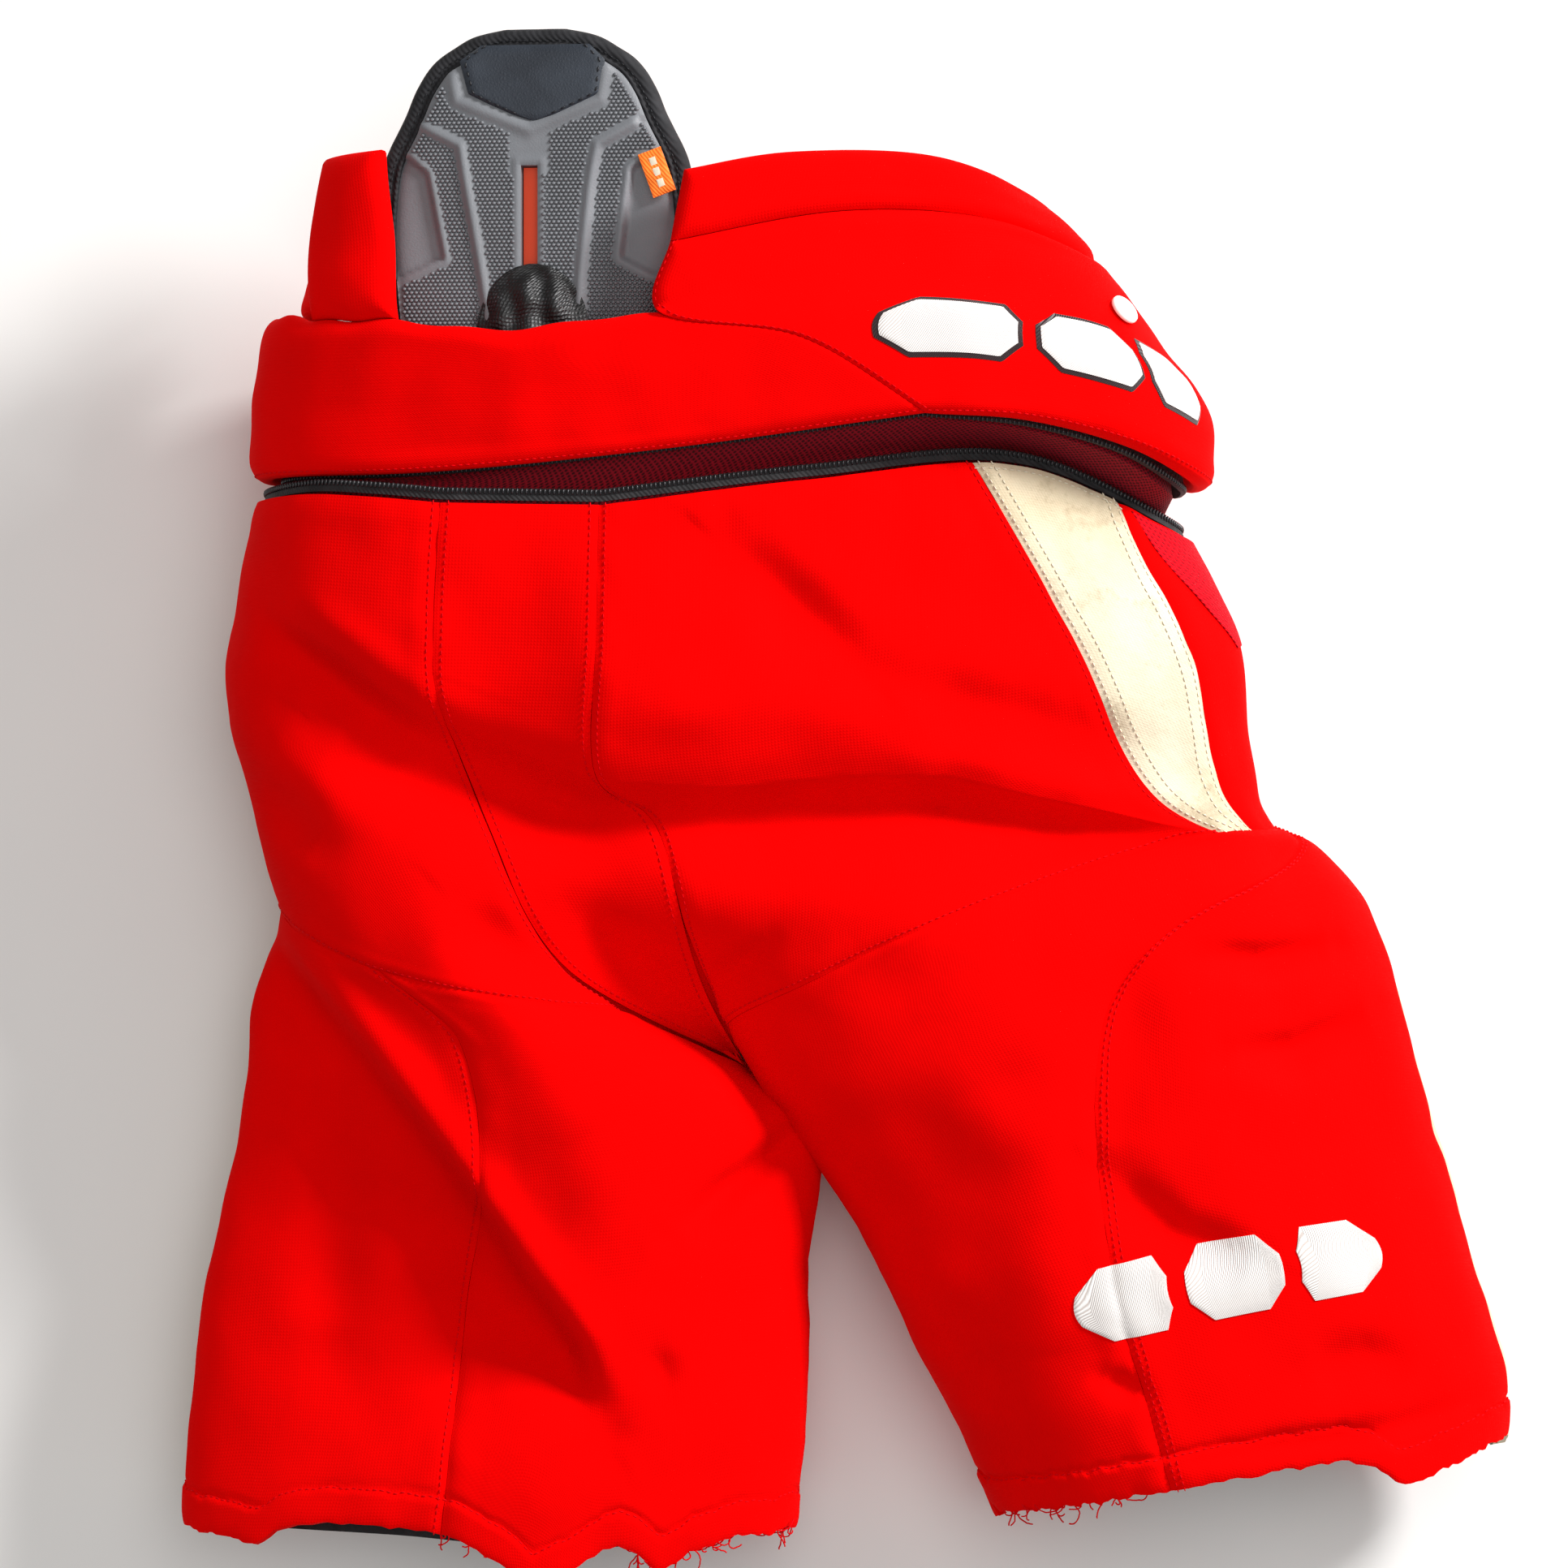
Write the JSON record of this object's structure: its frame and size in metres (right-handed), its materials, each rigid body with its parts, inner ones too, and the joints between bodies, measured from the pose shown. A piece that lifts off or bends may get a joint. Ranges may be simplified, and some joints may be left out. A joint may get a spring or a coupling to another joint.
{
  "type": "ice hockey pants",
  "caption": "Padded ice hockey pants with a zip-out waist, kidney wings, a moulded spine guard, a belt and thigh guards in both legs, laid on their front.",
  "frame": {"origin": "bottom centre of the box round the pants as they lie on their front", "axes": "+X to the wearer's right, +Y from the legs to the waist, +Z out of the wearer's back, up from the surface they lie on"},
  "size_m": [0.6292, 0.7078, 0.1639],
  "materials": {
    "red_nylon": "woven nylon, matte",
    "white_panel": "smooth coated nylon, stained",
    "white_embroidery": "satin stitch",
    "zip_tape": "woven tape with nylon coil",
    "extension_mesh": "knitted mesh",
    "foam": "closed-cell foam",
    "guard_plastic": "moulded, matte",
    "buckle_plastic": "moulded, matte",
    "webbing": "woven webbing",
    "liner": "brushed lining",
    "moulded_foam": "embossed skin, satin",
    "binding": "mesh binding tape",
    "orange_plastic": "smooth",
    "dark_patch": "grained, satin",
    "black_mesh": "open mesh",
    "orange_tag": "printed tag",
    "zip_metal": "dark plated",
    "button_plastic": "glossy"
  },
  "bodies": {
    "pelvis": {"right_seat_panel": "red_nylon", "right_hip_stripe": "white_panel", "right_hip_panel": "red_nylon", "right_front_panel": "red_nylon", "left_seat_panel": "red_nylon", "left_hip_stripe": "white_panel", "left_front_panel": "red_nylon", "seat_gusset": "red_nylon", "fly_gusset": "red_nylon", "lower_zip_tape": "zip_tape", "tailbone_pad": "foam", "right_hip_fold": "red_nylon", "left_hip_fold": "red_nylon", "extension_mesh": "extension_mesh"},
    "waist": {"back_band": "red_nylon", "left_front_belt": "red_nylon", "right_hip_band": "red_nylon", "right_kidney_wing": "red_nylon", "right_front_belt": "red_nylon", "left_kidney_wing": "red_nylon", "left_hip_wing": "red_nylon", "fly_tongue": "red_nylon", "upper_zip_tape": "zip_tape", "hip_mark": "white_embroidery", "button_back_right": "button_plastic", "button_back_left": "button_plastic", "button_front_right_outer": "button_plastic", "button_front_right_inner": "button_plastic", "button_front_left_outer": "button_plastic", "button_front_left_inner": "button_plastic", "belt_left": "webbing", "belt_socket": "buckle_plastic"},
    "spine_guard": {"guard_board": "moulded_foam", "guard_binding": "binding", "guard_slot_insert": "orange_plastic", "guard_top_patch": "dark_patch", "guard_mesh_sleeve": "black_mesh", "guard_tag": "orange_tag"},
    "right_leg": {"right_back_thigh": "red_nylon", "right_outer_thigh": "red_nylon", "right_leg_stripe": "white_panel", "right_front_thigh": "red_nylon", "right_inner_thigh": "red_nylon", "right_thigh_foam": "foam", "right_thigh_guard": "guard_plastic", "right_leg_liner": "liner", "leg_mark": "white_embroidery"},
    "left_leg": {"left_back_thigh": "red_nylon", "left_outer_thigh": "red_nylon", "left_leg_stripe": "white_panel", "left_front_thigh": "red_nylon", "left_inner_thigh": "red_nylon", "left_thigh_foam": "foam", "left_thigh_guard": "guard_plastic", "left_leg_liner": "liner"},
    "belt_end": {"belt_plug": "buckle_plastic", "belt_right": "webbing"},
    "zip_slider": {"zip_slider": "zip_metal"},
    "zip_pull": {"zip_pull": "zip_metal"}
  },
  "joints": [
    {"name": "waist_extension", "type": "slide", "parent": "pelvis", "child": "waist", "axis": [0, 1, 0], "range_m": [0, 0.012], "deforming": ["extension_mesh"]},
    {"name": "spine_guard_flex", "type": "hinge", "parent": "waist", "child": "spine_guard", "pos_m": [-0.1425, 0.16935, 0.12747], "axis": [0.995, 0, 0.0998], "range_deg": [-15, 0], "stiffness_Nm_per_rad": 3},
    {"name": "right_hip", "type": "hinge", "parent": "pelvis", "child": "right_leg", "pos_m": [0.08115, -0.05265, 0.064], "axis": [0.9992, 0.04, 0], "range_deg": [-20, 35], "deforming": ["right_hip_fold"]},
    {"name": "left_hip", "type": "hinge", "parent": "pelvis", "child": "left_leg", "pos_m": [-0.19785, -0.05065, 0.064], "axis": [0.9901, -0.14, 0], "range_deg": [-20, 35], "deforming": ["left_hip_fold"]},
    {"name": "belt_release", "type": "slide", "parent": "waist", "child": "belt_end", "axis": [1, 0, 0], "range_m": [0, 0.02]},
    {"name": "zip_run", "type": "slide", "parent": "pelvis", "child": "zip_slider", "axis": [-0.9993, 0.031, 0.019], "range_m": [0, 0.03]},
    {"name": "zip_pull_swing", "type": "hinge", "parent": "zip_slider", "child": "zip_pull", "pos_m": [-0.02975, 0.14465, 0.0019], "axis": [1, 0, 0], "range_deg": [-10, 0]}
  ]
}
